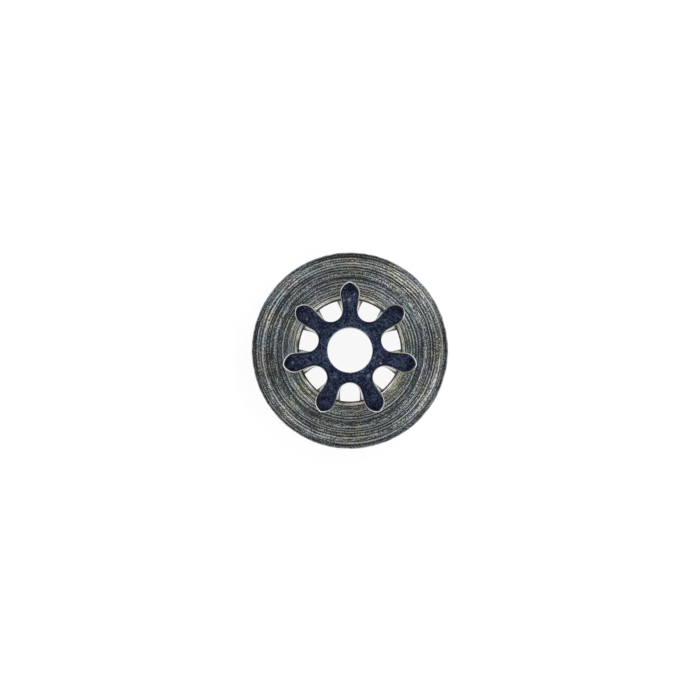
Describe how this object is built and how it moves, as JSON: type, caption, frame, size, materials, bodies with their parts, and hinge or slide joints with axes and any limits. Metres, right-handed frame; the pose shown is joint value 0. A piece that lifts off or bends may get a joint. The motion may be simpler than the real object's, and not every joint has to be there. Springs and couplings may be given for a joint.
{
  "type": "breguet pinion",
  "caption": "Small hollow watch pinion with pointed leaves, riveted into a turned steel ring that carries saw-shaped face teeth on its rear side.",
  "frame": {"origin": "on the pinion's axis, in the plane of the crests of the face teeth", "axes": "+Z along the axis from the face teeth towards the leaves, +Y along one leaf"},
  "size_m": [0.0018, 0.0018, 0.0008],
  "materials": {
    "turned_steel": "fine turned, with concentric tool marks",
    "blued_steel": "hardened, blue-black, polished"
  },
  "bodies": {
    "root": {"ratchet_ring": "turned_steel", "leaf_pinion": "blued_steel"}
  },
  "joints": []
}
